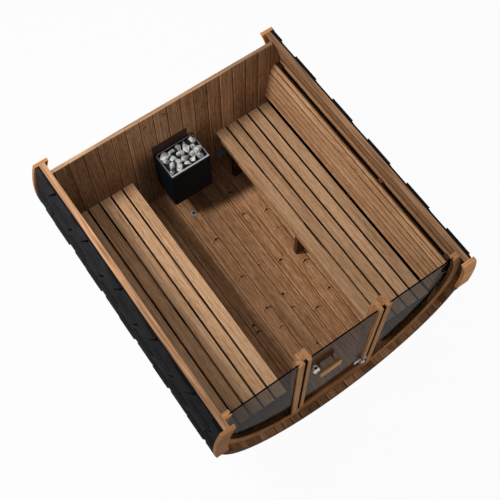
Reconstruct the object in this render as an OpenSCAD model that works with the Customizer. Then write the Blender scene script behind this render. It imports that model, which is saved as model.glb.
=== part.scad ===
// Barrel sauna, shown cut open on a level plane above its middle.
// Millimetres. +Z up, the glazed front faces -Y, the floor's centre line is X = 0.

/* [Barrel] */
// Radius to the outer flats of the staves
barrel_radius = 1069; // [950:1:1200]
// Thickness of a stave
stave_thick = 45; // [30:1:70]
// Staves that would close the full circle
stave_count = 72; // [60:4:96]
// Open joint between two staves
stave_joint = 0.8; // [0.5:0.1:2]
// Bevel along the inner edges of a stave
stave_bevel = 5; // [2:0.5:8]
// Length of the staves, front to back
barrel_length = 2285; // [1800:5:3000]
// Level cut above the centre line, as a share of the radius
cut_share = 0.3489; // [0.25:0.0001:0.42]
// Ground to the lowest stave
ground_clear = 60; // [40:1:120]

/* [Cradles] */
// Half of a cradle's length across the barrel
cradle_half = 560; // [400:1:640]
// Height of a cradle's ends
cradle_height = 190; // [140:1:230]
// Thickness of a cradle beam
cradle_thick = 70; // [45:1:100]
// Cradle's centre from the barrel's middle, as a share of the length
cradle_share = 0.3326; // [0.2:0.0001:0.42]

/* [Arch boards and shingles] */
// Thickness of the arch boards on the barrel's ends
arch_thick = 28; // [18:1:40]
// Arch board's overhang outside the staves
arch_over = 28; // [20:1:45]
// Arch board's reach inside the staves
arch_under = 29; // [10:1:45]
// Lower end of the arch boards below the centre line
arch_drop = 105; // [60:1:200]
// Lower edge of the shingles below the centre line
shingle_drop = 270; // [100:1:320]
// Thickness of the shingle layer
shingle_thick = 9; // [5:0.5:14]

/* [Floor and back wall] */
// Top of the floor below the centre line, as a share of the radius
floor_share = 0.7923; // [0.7:0.0001:0.85]
// Thickness of the floor boards
floor_thick = 28; // [20:1:45]
// Room side of the back wall from the staves' back ends
back_wall_inset = 107.5; // [80:0.5:240]
// Thickness of the back wall
back_wall_thick = 30; // [20:1:45]

/* [Front frame and glass] */
// Middle of the glass from the staves' front ends
glass_inset = 67.9; // [55:0.1:140]
// Thickness of every pane
glass_thick = 8; // [6:0.5:12]
// Depth of the front frame members
frame_depth = 43; // [34:1:60]
// Frame in front of the glass middle
frame_lead = 15.4; // [10:0.1:24]
// Radial width of the curved bottom rails
rail_width = 50; // [35:1:70]
// Depth of the glazing groove
groove_depth = 11; // [6:0.5:16]
// Half of the clear doorway
doorway_half = 275; // [250:1:320]
// Width of a door jamb
jamb_width = 34; // [26:1:50]
// Width of a pane stile beside the jamb
stile_width = 71; // [50:1:90]
// Shadow recess between stile and jamb
recess_width = 22; // [10:1:28]
// Depth of that recess
recess_depth = 22; // [10:1:24]
// Width of a post on the room side
post_width = 77; // [50:1:100]
// Depth of a post on the room side
post_depth = 47; // [30:1:70]
// Sill above the floor
sill_rise = 12; // [5:1:30]

/* [Door] */
// Gap between door glass and jamb
door_side_gap = 8; // [6:0.5:12]
// Gap between door glass and sill
door_foot_gap = 8; // [6:0.5:15]
// Length of the pull bars
pull_length = 185; // [120:1:260]
// Pull bar's left end from the doorway's left side
pull_inset = 70; // [66:1:120]
// Pull bar's depth from front to back
pull_depth = 36; // [24:1:45]
// Pull bar's height
pull_height = 30; // [20:1:45]
// Space for the fingers behind a pull bar
pull_reach = 24; // [18:1:40]
// Middle of the pull bars above the sill
pull_rise = 788; // [620:1:840]
// Radius of a pull bar's spacers
spacer_radius = 8; // [5:0.5:12]
// Radius of the round knob
knob_radius = 27; // [18:0.5:29]
// Length of the round knob
knob_length = 42; // [25:1:60]
// Radius of the knob's hollow
knob_hollow = 12; // [6:0.5:15]
// Knob and hinge clamp from the glass edge
edge_margin = 5; // [2:0.5:8]
// Knob's middle above the sill
knob_rise = 914; // [885:1:960]

/* [Hinge] */
// Middle of the hinge above the sill
hinge_rise = 158; // [90:1:300]
// Hinge axis in front of the frame
hinge_lead = 14; // [13:0.5:20]
// Radius of the hinge pin
pin_radius = 4; // [3:0.1:4.5]
// Running clearance around the pin
pin_clear = 0.08; // [0.05:0.01:0.1]
// Radius of the hinge knuckle
knuckle_radius = 9; // [7.5:0.1:9]
// Height of the door's knuckle
knuckle_height = 24; // [16:1:40]
// Height of a fixed ear above or below the knuckle
ear_height = 12; // [8:1:20]
// Width of the clamp plates on the glass
clamp_width = 62; // [45:1:80]
// Height of the clamp plates
clamp_height = 56; // [46:1:80]
// Thickness of the clamp plates
clamp_thick = 7; // [5:0.5:9]

/* [Benches] */
// Bench top below the centre line, as a share of the radius
bench_share = 0.3433; // [0.28:0.0001:0.4]
// Bench front from the post beside the door
bench_aside = 46; // [20:1:90]
// Rear slat from the barrel's wall at the bench top
bench_wall_gap = 46.5; // [40:0.1:120]
// Slats in a bench
bench_slats = 5; // [4:1:5]
// Gap between bench slats
slat_gap = 13; // [5:0.5:16]
// Thickness of a bench slat
slat_thick = 28; // [20:1:40]
// Rounding along the slats
slat_round = 4; // [2:0.5:6]
// Front end of the benches behind the front frame
bench_clear = 27; // [25:1:90]
// Height of the apron below the front slat
apron_height = 60; // [40:1:130]
// Thickness of the apron
apron_thick = 28; // [18:1:40]
// Apron's set-back from the slat's front edge
apron_inset = 3; // [0:0.5:10]
// Apron's ends short of the bench ends
apron_short = 60; // [20:1:120]
// Thickness of a bench support board
support_thick = 36; // [28:1:60]
// Support spacing as a share of the bench's length
support_share = 0.4282; // [0.34:0.0001:0.44]
// Middle support's place from front to back
support_middle = -30; // [-90:1:90]

/* [Backrests] */
// Face of a backrest's foot from the barrel's wall
rest_stand = 108.5; // [90:0.5:130]
// Foot of a backrest above the bench top
rest_foot_rise = 115; // [60:1:130]
// Lean of the lower slats
rest_lean = 9.1; // [4:0.1:14]
// Lower slats in a backrest
rest_slats = 5; // [4:1:6]
// Width of a lower slat
rest_slat = 52; // [40:1:56]
// Gap between backrest slats
rest_gap = 4; // [3:0.5:8]
// Lean of the head slat
head_lean = 26; // [14:1:32]
// Width of the head slat
head_slat = 92; // [60:1:100]
// Thickness of the backrest slats
rest_thick = 20; // [15:1:25]
// Thickness of a block behind the backrest
block_thick = 40; // [30:1:60]

/* [Heater and fittings] */
// Heater's width
heater_width = 360; // [280:1:420]
// Heater's depth
heater_depth = 258; // [210:1:280]
// Heater's height
heater_height = 440; // [380:1:480]
// Heater's foot above the floor
heater_rise = 268; // [150:1:320]
// Heater's stand-off from the back wall
heater_gap = 9; // [8:1:40]
// Thickness of the heater's casing
casing_thick = 5; // [3:0.5:8]
// Depth of the stone basket
basket_depth = 120; // [80:1:160]
// Rounding of the heater's upright edges
casing_round = 14; // [6:1:24]
// Steel rim inside the casing's outline
rim_inset = 9; // [4:0.5:16]
// Width of the steel rim
rim_width = 8; // [6:0.5:14]
// Rounding of the rim's corners
rim_round = 24; // [16:1:40]
// Depth of the rim's front bar
rim_bar = 12; // [8:0.5:18]
// Height of the steel rim
rim_height = 9; // [5:0.5:14]
// Stone bed below the rim
stone_set = 22; // [10:1:40]
// Thickness of the heat shield on the wall
shield_thick = 4; // [2:0.5:8]
// Heat shield's right edge short of the casing's side
shield_short = 45; // [0:1:60]
// Heat shield above the casing
shield_rise = 95; // [20:1:120]
// Width of a heater hanger rail
hanger_width = 40; // [25:1:60]
// Radius of the wall vent
vent_radius = 52; // [40:1:62]
// Wall vent from the centre line
vent_x = 439; // [380:1:470]
// Wall vent above the floor
vent_rise = 146; // [90:1:200]
// Radius of the floor drain
drain_radius = 27; // [18:1:40]
// Floor drain from the centre line
drain_x = -45; // [-150:1:150]
// Floor drain in front of the back wall
drain_back = 287; // [275:1:500]

/* [Hidden] */
$fn = 48;
quarter = 90;
full_turn = 360;
fit = 0.3;
arc_facets = 144;
small_facets = 16;

pitch = full_turn / stave_count;
inner_radius = barrel_radius - stave_thick;
corner_radius = barrel_radius / cos(pitch / 2);
centre_z = ground_clear + barrel_radius;
cut_rise = barrel_radius * cut_share;
cut_z = centre_z + cut_rise;
span = barrel_radius * 2;
last_stave = ceil((quarter + asin(cut_rise / inner_radius)) / pitch - 1 / 2);
low_share = 0.056;
mid_share = 0.14;
top_share = 0.235;
low_first = round(stave_count * low_share);
mid_first = round(stave_count * mid_share);
top_first = round(stave_count * top_share);

end_y = barrel_length / 2;
cradle_offset = barrel_length * cradle_share;
arch_out = barrel_radius + arch_over;
arch_in = inner_radius - arch_under;
shingle_in = corner_radius + fit;
shingle_out = shingle_in + shingle_thick;

floor_z = centre_z - barrel_radius * floor_share;
back_wall_at = end_y - back_wall_inset;
glass_at = end_y - glass_inset;
frame_front = -(glass_at + frame_lead);
frame_back = frame_front + frame_depth;
glass_front = -(glass_at + glass_thick / 2);
glass_back = glass_front + glass_thick;
rail_in = inner_radius - rail_width;
jamb_out = doorway_half + jamb_width;
stile_out = jamb_out + stile_width;
sill_z = floor_z + sill_rise;
post_front = frame_back + post_depth;

door_half = doorway_half - door_side_gap;
door_foot = sill_z + door_foot_gap;
pull_x = -doorway_half + pull_inset;
pull_z = sill_z + pull_rise;
spacer_share = 0.2;
knob_x = -door_half + knob_radius + edge_margin;
knob_z = sill_z + knob_rise;
knob_sink_share = 0.3;

hinge_x = doorway_half;
hinge_y = frame_front - hinge_lead;
hinge_z = sill_z + hinge_rise;
ear_gap = 0.6;
strap_half = knuckle_height / 2;
clamp_right = door_half - edge_margin;
strap_width = 16;
plate_gap = 3;
plate_thick = 6;

bench_z = centre_z - barrel_radius * bench_share;
bench_end = -frame_back - bench_clear;
bench_front = doorway_half + post_width + bench_aside;
bench_back = wall_half(bench_z) - bench_wall_gap;
slat_pitch = (bench_back - bench_front + slat_gap) / bench_slats;
slat_width = slat_pitch - slat_gap;
bench_under = bench_z - slat_thick;
apron_foot = bench_under - apron_height;
support_x = bench_front + apron_inset + apron_thick;
support_pitch = (bench_end + back_wall_at) * support_share;
supports = [support_middle - support_pitch, support_middle, support_middle + support_pitch];

rest_foot_z = bench_z + rest_foot_rise;
rest_foot_x = wall_half(rest_foot_z) - rest_stand;
rest_pitch = rest_slat + rest_gap;
rest_run = rest_slats * rest_pitch + rest_thick * (sin(head_lean) - sin(rest_lean));
head_x = rest_foot_x + rest_run * sin(rest_lean);
head_z = rest_foot_z + rest_run * cos(rest_lean);
rest_round = 3;
rest_back = rest_thick + fit;
block_share = 0.235;
block_top_share = 0.96;
blocks = [-bench_end + block_thick, -bench_end * block_share, back_wall_at - block_thick];

heater_top = floor_z + heater_rise + heater_height;
heater_back = back_wall_at - heater_gap;
heater_mid = heater_back - heater_depth / 2;
body_top = heater_top - rim_height;
body_foot = heater_top - heater_height;
shelf_z = body_top - basket_depth;
rim_in = rim_inset + rim_width;
pocket_width = heater_width - rim_in * 2;
pocket_depth = heater_depth - rim_in * 2;
pocket_round = rim_round - rim_width;
rim_across = heater_width - rim_inset * 2;
rim_deep = heater_depth - rim_inset * 2;
shield_front = back_wall_at - shield_thick;
hanger_x = heater_width / 4;
vent_flange = 6;
vent_stem = 12;
vent_stem_share = 0.3;
vent_cap_share = 0.76;
drain_height = 4;
drain_y = back_wall_at - drain_back;
drain_hole_share = 0.4;
drain_dish_share = 0.5;

wood_light = [0.66, 0.46, 0.3];
wood_mid = [0.5, 0.33, 0.21];
wood_dark = [0.36, 0.23, 0.15];
black = [0.08, 0.08, 0.09];
tint = [0.35, 0.36, 0.37];
steel = [0.75, 0.75, 0.76];
stone = [0.62, 0.61, 0.6];

// Half of the clear width between the staves at a height
function wall_half(z) = sqrt(pow(inner_radius, 2) - pow(z - centre_z, 2));

// A section drawn in X and Z, run from y_low to y_high
module run(y_low, y_high) {
  translate([0, y_high, 0])
    rotate([quarter, 0, 0])
      linear_extrude(height = y_high - y_low)
        children();
}

module mirrored(side) {
  mirror([side < 0 ? 1 : 0, 0, 0])
    children();
}

// Everything under the level cut
module under_cut(z_low = 0) {
  translate([-span, z_low])
    square([span * 2, cut_z - z_low]);
}

// A disc about the barrel's centre line
module disc(radius) {
  translate([0, centre_z])
    circle(r = radius, $fn = arc_facets);
}

// The space inside the staves: their inner flats
module bore() {
  translate([0, centre_z])
    polygon([for (i = [0:stave_count - 1])
      inner_radius / cos(pitch / 2) * [sin((i + 1 / 2) * pitch), -cos((i + 1 / 2) * pitch)]]);
}

// One side of the section, from x_low outwards
module beside(x_low, x_high, z_low, z_high) {
  translate([x_low, z_low])
    square([x_high - x_low, z_high - z_low]);
}

module stave_section() {
  outer = barrel_radius * tan(pitch / 2) - stave_joint / 2;
  shoulder = (inner_radius + stave_bevel) * tan(pitch / 2) - stave_joint / 2;
  inner = shoulder - stave_bevel;
  polygon([
    [-outer, -barrel_radius], [outer, -barrel_radius],
    [shoulder, -inner_radius - stave_bevel], [inner, -inner_radius],
    [-inner, -inner_radius], [-shoulder, -inner_radius - stave_bevel]
  ]);
}

// Staves first to last, counted from the lowest one
module staves(first, last) {
  color(wood_mid)
    run(-end_y, end_y)
      intersection() {
        translate([0, centre_z])
          for (i = [first:last])
            rotate(i * pitch)
              stave_section();
        under_cut();
      }
}

module bottom_staves() {
  staves(1 - low_first, low_first - 1);
}

module left_low_staves() {
  staves(1 - mid_first, -low_first);
}

module right_low_staves() {
  staves(low_first, mid_first - 1);
}

module left_mid_staves() {
  staves(1 - top_first, -mid_first);
}

module right_mid_staves() {
  staves(mid_first, top_first - 1);
}

module left_top_staves() {
  staves(-last_stave, -top_first);
}

module right_top_staves() {
  staves(top_first, last_stave);
}

module cradles() {
  color(wood_mid)
    for (y = [-cradle_offset, cradle_offset])
      run(y - cradle_thick / 2, y + cradle_thick / 2)
        difference() {
          beside(-cradle_half, cradle_half, 0, cradle_height);
          disc(corner_radius + fit);
        }
}

// An arch board on each side of one end
module arches(y_low) {
  color(wood_light)
    for (side = [-1, 1])
      run(y_low, y_low + arch_thick)
        intersection() {
          difference() {
            disc(arch_out);
            disc(arch_in);
          }
          under_cut(centre_z - arch_drop);
          mirrored(side)
            beside(0, span, 0, cut_z);
        }
}

module front_arches() {
  arches(-end_y - arch_thick);
}

module back_arches() {
  arches(end_y);
}

module shingles(side) {
  color(black)
    run(-end_y, end_y)
      intersection() {
        difference() {
          disc(shingle_out);
          disc(shingle_in);
        }
        under_cut(centre_z - shingle_drop);
        mirrored(side)
          beside(0, span, 0, cut_z);
      }
}

module left_shingles() {
  shingles(-1);
}

module right_shingles() {
  shingles(1);
}

module room_floor() {
  top_half = wall_half(floor_z);
  foot_half = wall_half(floor_z - floor_thick);
  color(wood_mid)
    run(frame_back, back_wall_at)
      polygon([[-top_half, floor_z], [top_half, floor_z],
        [foot_half, floor_z - floor_thick], [-foot_half, floor_z - floor_thick]]);
}

module back_wall() {
  color(wood_dark)
    run(back_wall_at, back_wall_at + back_wall_thick)
      intersection() {
        bore();
        under_cut();
      }
}

module door_sill() {
  color(wood_light)
    run(frame_front, frame_back)
      intersection() {
        bore();
        beside(-jamb_out, jamb_out, 0, sill_z);
      }
}

// Curved rail with a groove for the pane
module rail(side) {
  color(wood_light)
    difference() {
      run(frame_front, frame_back)
        intersection() {
          difference() {
            bore();
            disc(rail_in);
          }
          mirrored(side)
            beside(stile_out, span, 0, cut_z);
        }
      run(glass_front - fit, glass_back + fit)
        disc(rail_in + groove_depth);
    }
}

module left_rail() {
  rail(-1);
}

module right_rail() {
  rail(1);
}

// Upright beside a fixed pane, with glazing groove and shadow recess
module stile(side) {
  color(wood_light)
    difference() {
      run(frame_front, frame_back)
        intersection() {
          bore();
          mirrored(side)
            beside(jamb_out, stile_out, 0, cut_z);
        }
      run(glass_front - fit, glass_back + fit)
        mirrored(side)
          beside(stile_out - groove_depth, span, 0, span * 2);
      run(frame_front - fit, frame_front + recess_depth)
        mirrored(side)
          beside(jamb_out - fit, jamb_out + recess_width, sill_z, span * 2);
    }
}

module left_stile() {
  stile(-1);
}

module right_stile() {
  stile(1);
}

module jamb(side) {
  color(wood_light)
    run(frame_front, frame_back)
      mirrored(side)
        beside(doorway_half, jamb_out, sill_z, cut_z);
}

module left_jamb() {
  jamb(-1);
}

module right_jamb() {
  jamb(1);
}

module room_posts() {
  color(wood_light)
    for (side = [-1, 1])
      run(frame_back, post_front)
        mirrored(side)
          beside(doorway_half, doorway_half + post_width, floor_z, cut_z);
}

// Fixed pane held in the rail's and the stile's groove
module pane(side) {
  color(tint)
    run(glass_front, glass_back)
      intersection() {
        disc(rail_in + groove_depth - fit);
        mirrored(side)
          beside(stile_out - groove_depth + fit, span, 0, cut_z);
      }
}

module left_pane() {
  pane(-1);
}

module right_pane() {
  pane(1);
}

module door_pane() {
  color(tint)
    run(glass_front, glass_back)
      beside(-door_half, door_half, door_foot, cut_z);
}

// Bar with one rounded end, standing off the glass on two spacers
module pull(outward) {
  bar_y = pull_reach + pull_depth / 2;
  mirror([0, outward ? 1 : 0, 0]) {
    translate([pull_x, bar_y, pull_z - pull_height / 2])
      linear_extrude(height = pull_height)
        union() {
          translate([0, -pull_depth / 2])
            square([pull_length - pull_depth / 2, pull_depth]);
          translate([pull_length - pull_depth / 2, 0])
            circle(d = pull_depth);
        }
    for (share = [spacer_share, 1 - spacer_share])
      translate([pull_x + pull_length * share, bar_y, pull_z])
        rotate([quarter, 0, 0])
          cylinder(r = spacer_radius, h = bar_y);
  }
}

module outer_pull() {
  color(wood_light)
    translate([0, glass_front, 0])
      pull(true);
}

module inner_pull() {
  color(wood_light)
    translate([0, glass_back, 0])
      pull(false);
}

module door_knob() {
  sink = knob_length * knob_sink_share;
  color(steel)
    translate([knob_x, glass_front, knob_z])
      rotate([quarter, 0, 0])
        rotate_extrude()
          polygon([[0, 0], [knob_radius, 0], [knob_radius, knob_length - sink],
            [knob_radius - sink / 2, knob_length], [knob_hollow, knob_length],
            [knob_hollow, knob_length - sink], [0, knob_length - sink]]);
}

// Plates that clamp the glass, and a knuckle on the pin
module hinge_leaf() {
  strap_left = clamp_right - strap_width;
  strap_front = hinge_y - knuckle_radius * 2 / 3;
  color(steel) {
    translate([clamp_right - clamp_width, glass_back, hinge_z - clamp_height / 2])
      cube([clamp_width, clamp_thick, clamp_height]);
    difference() {
      union() {
        translate([clamp_right - clamp_width, glass_front - clamp_thick, hinge_z - clamp_height / 2])
          cube([clamp_width, clamp_thick, clamp_height]);
        translate([strap_left, strap_front, hinge_z - strap_half])
          cube([strap_width, glass_front - clamp_thick / 2 - strap_front, knuckle_height]);
        translate([strap_left, strap_front, hinge_z - strap_half])
          cube([hinge_x - strap_left, hinge_y - strap_front, knuckle_height]);
        translate([hinge_x, hinge_y, hinge_z - strap_half])
          cylinder(r = knuckle_radius, h = knuckle_height);
      }
      translate([hinge_x, hinge_y, hinge_z - knuckle_height])
        cylinder(r = pin_radius + pin_clear, h = knuckle_height * 2);
    }
  }
}

// Plate on the jamb with two ears that hold the pin
module hinge_bracket() {
  plate_x = hinge_x + knuckle_radius + plate_gap;
  tall = strap_half + ear_gap + ear_height;
  color(steel)
    union() {
      translate([plate_x, frame_front - plate_thick, hinge_z - tall])
        cube([jamb_out - plate_x, plate_thick, tall * 2]);
      for (low = [-tall, strap_half + ear_gap]) {
        translate([hinge_x, hinge_y, hinge_z + low])
          cylinder(r = knuckle_radius, h = ear_height);
        translate([hinge_x, hinge_y, hinge_z + low])
          cube([plate_x - hinge_x + plate_gap, hinge_lead, ear_height]);
      }
      translate([hinge_x, hinge_y, hinge_z - tall])
        cylinder(r = pin_radius, h = tall * 2);
    }
}

// Section of a board with rounded long edges, standing at the origin
module rounded(width, height, radius) {
  translate([radius, radius])
    offset(r = radius, $fn = small_facets)
      square([width - radius * 2, height - radius * 2]);
}

module bench(side) {
  color(wood_light)
    run(-bench_end, back_wall_at)
      mirrored(side)
        for (i = [0:bench_slats - 1])
          translate([bench_front + i * slat_pitch, bench_under])
            rounded(slat_width, slat_thick, slat_round);
}

module left_bench() {
  bench(-1);
}

module right_bench() {
  bench(1);
}

module bench_aprons() {
  color(wood_light)
    for (side = [-1, 1])
      run(-bench_end + apron_short, back_wall_at - apron_short)
        mirrored(side)
          beside(bench_front + apron_inset, support_x, apron_foot, bench_under);
}

// Boards that carry a bench from the floor and the barrel's wall
module support_boards(side) {
  color(wood_dark)
    for (y = supports)
      run(y - support_thick / 2, y + support_thick / 2)
        intersection() {
          bore();
          mirrored(side)
            beside(support_x, span, floor_z, bench_under);
        }
}

module left_supports() {
  support_boards(-1);
}

module right_supports() {
  support_boards(1);
}

module backrest(side) {
  color(wood_light)
    run(-bench_end, back_wall_at)
      mirrored(side) {
        translate([rest_foot_x, rest_foot_z])
          rotate(-rest_lean)
            for (i = [0:rest_slats - 1])
              translate([0, i * rest_pitch])
                rounded(rest_thick, rest_slat, rest_round);
        translate([head_x, head_z])
          rotate(-head_lean)
            rounded(rest_thick, head_slat, rest_round);
      }
}

module left_backrest() {
  backrest(-1);
}

module right_backrest() {
  backrest(1);
}

// Blocks between the slats and the barrel's wall
module backrest_blocks() {
  color(wood_dark)
    for (side = [-1, 1])
      for (y = blocks)
        run(y - block_thick / 2, y + block_thick / 2)
          intersection() {
            bore();
            mirrored(side)
              block_section();
          }
}

module block_section() {
  foot = [rest_foot_x + rest_back * cos(rest_lean), rest_foot_z - rest_back * sin(rest_lean)];
  neck = foot + rest_run * [sin(rest_lean), cos(rest_lean)];
  turn = [head_x + rest_back * cos(head_lean), head_z - rest_back * sin(head_lean)];
  head = turn + head_slat * block_top_share * [sin(head_lean), cos(head_lean)];
  intersection() {
    polygon([foot, neck + (neck - foot), [span, neck[1] * 2 - foot[1]], [span, foot[1]]]);
    polygon([turn - (head - turn) * rest_slats, head, [span, head[1]], [span, 0]]);
  }
}

// Plan of a box with rounded upright edges
module plan(width, depth, radius) {
  offset(r = radius, $fn = small_facets * 2)
    square([width - radius * 2, depth - radius * 2], center = true);
}

module heater_casing() {
  inside = casing_thick * 2;
  color(black)
    translate([0, heater_mid, body_foot])
      difference() {
        linear_extrude(height = body_top - body_foot)
          plan(heater_width, heater_depth, casing_round);
        translate([0, 0, shelf_z - body_foot])
          linear_extrude(height = basket_depth * 2)
            plan(pocket_width, pocket_depth, pocket_round);
        translate([0, 0, -casing_thick])
          linear_extrude(height = shelf_z - body_foot)
            plan(heater_width - inside, heater_depth - inside, casing_round - casing_thick);
      }
}

module heater_rim() {
  color(steel)
    translate([0, heater_mid, body_top])
      linear_extrude(height = rim_height) {
        difference() {
          plan(rim_across, rim_deep, rim_round);
          plan(pocket_width, pocket_depth, pocket_round);
        }
        translate([-rim_across / 2, -rim_deep / 2])
          square([rim_across, rim_bar]);
      }
}

module heater_hangers() {
  color(black)
    for (x = [-hanger_x, hanger_x])
      translate([x - hanger_width / 2, heater_back, body_foot + casing_round])
        cube([hanger_width, shield_front - heater_back, body_top - body_foot - casing_round * 2]);
}

// Sheet between the heater and the boards of the back wall
module heater_shield() {
  tall = heater_height + shield_rise;
  color(black)
    run(shield_front, back_wall_at)
      translate([-shield_short / 2, body_foot + tall / 2])
        plan(heater_width - shield_short, tall, casing_thick);
}

module stone_bed() {
  color(stone)
    translate([0, heater_mid, shelf_z])
      linear_extrude(height = basket_depth - stone_set)
        plan(pocket_width - fit * 2, pocket_depth - fit * 2, pocket_round - fit);
}

module wall_vent() {
  stem = vent_radius * vent_stem_share;
  cap = vent_radius * vent_cap_share;
  color(black)
    translate([vent_x, back_wall_at, floor_z + vent_rise])
      rotate([quarter, 0, 0])
        rotate_extrude()
          polygon([[0, 0], [vent_radius, 0], [vent_radius, vent_flange], [stem, vent_flange],
            [stem, vent_stem], [cap, vent_stem], [cap, vent_stem + vent_flange],
            [cap / 2, vent_stem + vent_flange * 2], [0, vent_stem + vent_flange * 2]]);
}

module floor_drain() {
  hole = drain_radius * drain_hole_share;
  dish = drain_height * drain_dish_share;
  color(steel)
    translate([drain_x, drain_y, floor_z])
      rotate_extrude()
        polygon([[0, 0], [drain_radius, 0], [drain_radius, dish], [drain_radius - dish, drain_height],
          [hole, drain_height], [hole, dish], [0, dish]]);
}

bottom_staves();
left_low_staves();
right_low_staves();
left_mid_staves();
right_mid_staves();
left_top_staves();
right_top_staves();
cradles();
front_arches();
back_arches();
left_shingles();
right_shingles();
room_floor();
back_wall();
door_sill();
left_rail();
right_rail();
left_stile();
right_stile();
left_jamb();
right_jamb();
room_posts();
left_pane();
right_pane();
door_pane();
outer_pull();
inner_pull();
door_knob();
hinge_leaf();
hinge_bracket();
left_bench();
right_bench();
bench_aprons();
left_supports();
right_supports();
left_backrest();
right_backrest();
backrest_blocks();
heater_casing();
heater_rim();
heater_hangers();
heater_shield();
stone_bed();
wall_vent();
floor_drain();
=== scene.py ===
"""The cutaway barrel sauna's looks: boards, shingles, stones, materials, light and camera.

Lengths are in metres. X runs across the barrel, Y from the glazed front to the back wall, Z up.
"""

import math
import random

import bmesh
import bpy
from mathutils import Matrix, Vector


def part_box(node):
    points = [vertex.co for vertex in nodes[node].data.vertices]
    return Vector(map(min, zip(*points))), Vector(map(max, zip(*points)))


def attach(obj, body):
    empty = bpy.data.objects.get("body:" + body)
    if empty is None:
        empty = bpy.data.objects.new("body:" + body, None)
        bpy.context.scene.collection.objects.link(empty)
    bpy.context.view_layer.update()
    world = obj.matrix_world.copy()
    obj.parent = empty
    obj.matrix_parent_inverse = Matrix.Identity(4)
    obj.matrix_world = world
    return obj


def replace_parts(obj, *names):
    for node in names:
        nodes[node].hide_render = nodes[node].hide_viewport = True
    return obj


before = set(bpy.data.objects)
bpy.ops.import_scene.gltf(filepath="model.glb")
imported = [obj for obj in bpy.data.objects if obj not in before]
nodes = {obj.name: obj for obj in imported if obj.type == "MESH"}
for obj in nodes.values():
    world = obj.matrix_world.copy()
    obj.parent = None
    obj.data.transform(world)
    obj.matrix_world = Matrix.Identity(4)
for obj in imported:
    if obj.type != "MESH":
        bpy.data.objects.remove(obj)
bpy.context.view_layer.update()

# Barrel: the height of its axis, radii of the staves and of the shingles' base layer
AXIS = 1.129
INNER = 1.024
OUTER = 1.069
SHELL = 1.0793
PANE_ARC = 0.974
STAVE_TURN = math.radians(5)
STAVE_PITCH = 0.09
STAVE_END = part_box("bottom_staves")[1].y
ROOM_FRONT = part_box("left_rail")[0].y
# The level plane that opens the barrel
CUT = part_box("left_jamb")[1].z

# Boards
FLOOR_PITCH = 0.125
WALL_PITCH = 0.1166
WALL_START = -0.006
WALL_MIDDLE = (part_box("back_wall")[0].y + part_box("back_wall")[1].y) / 2
BENCH_FRONT = 0.398
BENCH_PITCH = 0.1049
BENCH_GAP = 0.013
BENCH_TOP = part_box("left_bench")[1].z
REST_FOOT = 0.875
REST_PITCH = 0.0553
REST_LAST = 5.0
REST_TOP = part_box("right_backrest")[1].z
REST_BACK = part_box("right_backrest")[1].x

# Glazing groove in the stiles: its middle, half its width, and its front and back
GROOVE_X = 0.32
GROOVE_HALF = 0.0125
GROOVE_FRONT = -1.0895
GROOVE_BACK = -1.066
STILE_END = 0.3815

# Shadowed joints on the staves inside the room: height and depth of shade
WALL_JOINTS = ((1.283, 0.3), (1.43, 0.5))

# Grain noise: waves per metre across and along, detail and roughness
WARP = (5.0, 0.55, 1.0)
PATCH = (6.0, 1.3, 3.0)
FIBRE = (420.0, 6.0, 3.0, 0.65)
FLECK = (150.0, 16.0, 2.0, 0.6)
STREAK = (75.0, 1.5, 3.0, 0.6)
# Noise that breaks up the painted highlight beside board joints
EDGE_HIGHLIGHT_NOISE = (4.0, 5.0, 2.0)
RAGGED = (70.0, 70.0, 2.0)
# How far luck slides the grain from board to board
BOARD_SHIFT = 17.3
# Knots: cells per metre across and along
KNOT_CELLS = (6.0, 8.5)

WHITE = (1.0, 1.0, 1.0, 1.0)


def srgb(r, g, b):
    """A colour given as on a screen, 0 to 255, as a linear colour."""

    def linear(c):
        return c / 255 / 12.92 if c < 10.3 else ((c / 255 + 0.055) / 1.055) ** 2.4

    return (linear(r), linear(g), linear(b), 1.0)


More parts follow.
